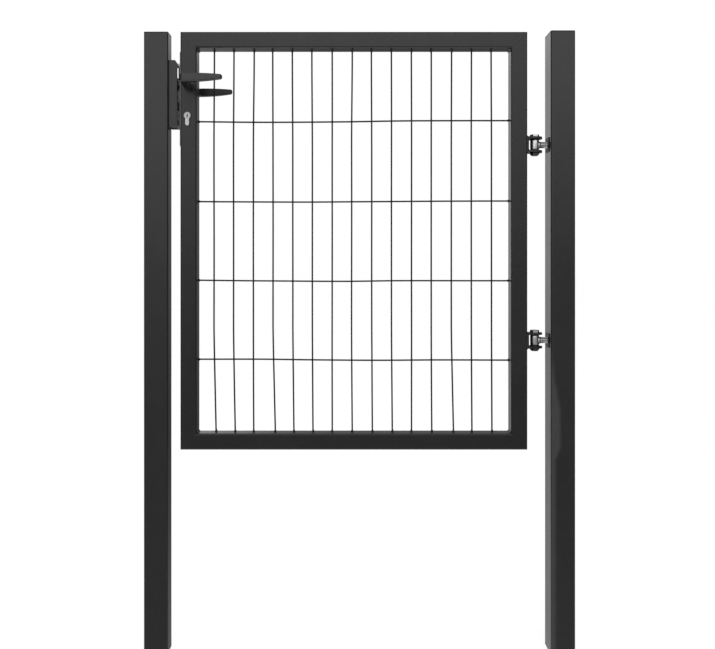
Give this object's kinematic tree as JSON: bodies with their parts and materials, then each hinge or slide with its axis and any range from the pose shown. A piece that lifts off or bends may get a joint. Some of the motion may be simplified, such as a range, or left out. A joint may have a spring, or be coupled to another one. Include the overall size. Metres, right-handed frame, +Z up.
{
  "type": "single-leaf mesh gate",
  "caption": "Garden gate: a mitred square-tube leaf with welded wire mesh swings on adjustable eye-bolt hinges between two posts, with a lever latch and a keyed lock.",
  "frame": {"origin": "ground point midway between the two post feet, on the gate's middle plane", "axes": "+Z up, +X from the lock post to the hinge post, +Y through the gate away from the side it opens to"},
  "size_m": [1.06, 0.1738, 1.53],
  "materials": {
    "powder_coat": "anthracite fine-texture powder coat over galvanised steel, satin",
    "cap_plastic": "moulded anthracite plastic",
    "zinc": "bright zinc plating",
    "nickel": "satin nickel plating",
    "lever_black": "dark coated die casting",
    "bush_plastic": "black acetal"
  },
  "bodies": {
    "posts": {"lock_post": "powder_coat", "hinge_post": "powder_coat", "post_caps": "cap_plastic", "strike_keep": "powder_coat", "keep_screws": "zinc", "hinge_eye_upper": "zinc", "hinge_eye_lower": "zinc", "hinge_sockets": "powder_coat"},
    "leaf": {"top_rail": "powder_coat", "bottom_rail": "powder_coat", "lock_stile": "powder_coat", "hinge_stile": "powder_coat", "vertical_wires": "powder_coat", "horizontal_wires": "powder_coat", "hinge_bracket_upper": "powder_coat", "hinge_bracket_lower": "powder_coat", "hinge_pins": "zinc", "hinge_nuts": "zinc", "hinge_washers": "bush_plastic", "lock_case": "zinc", "lock_case_cover": "zinc", "lock_forend": "zinc", "forend_screws": "zinc", "cylinder_body": "nickel", "cylinder_screw": "zinc", "spindle_bushes": "bush_plastic", "latch_spring": "zinc"},
    "handle": {"front_lever": "lever_black", "rear_lever": "lever_black", "spindle": "zinc", "lever_grub_screws": "zinc", "follower": "zinc"},
    "latch": {"latch_bolt": "zinc"},
    "deadbolt": {"deadbolt": "zinc"},
    "key_plug": {"cylinder_plugs": "nickel", "cylinder_cam": "nickel"}
  },
  "joints": [
    {"name": "leaf_swing", "type": "hinge", "parent": "posts", "child": "leaf", "pos_m": [0.437, 0, 1.011], "axis": [0, 0, 1], "range_deg": [0, 105]},
    {"name": "lever_turn", "type": "hinge", "parent": "leaf", "child": "handle", "pos_m": [-0.422, 0, 1.395], "axis": [0, 1, 0], "range_deg": [0, 40], "stiffness_Nm_per_rad": 1, "springref_deg": -20.05},
    {"name": "latch_slide", "type": "slide", "parent": "leaf", "child": "latch", "axis": [1, 0, 0], "range_m": [0, 0.01], "deforming": ["latch_spring"]},
    {"name": "plug_turn", "type": "hinge", "parent": "leaf", "child": "key_plug", "pos_m": [-0.422, 0, 1.323], "axis": [0, 1, 0], "range_deg": [0, 360]},
    {"name": "deadbolt_slide", "type": "slide", "parent": "leaf", "child": "deadbolt", "axis": [-1, 0, 0], "range_m": [0, 0.016]}
  ],
  "couplings": [
    {"joint": "latch_slide", "follows": "lever_turn", "m_per_rad": 0.014323},
    {"joint": "plug_turn", "follows": "deadbolt_slide", "rad_per_m": 392.7}
  ]
}
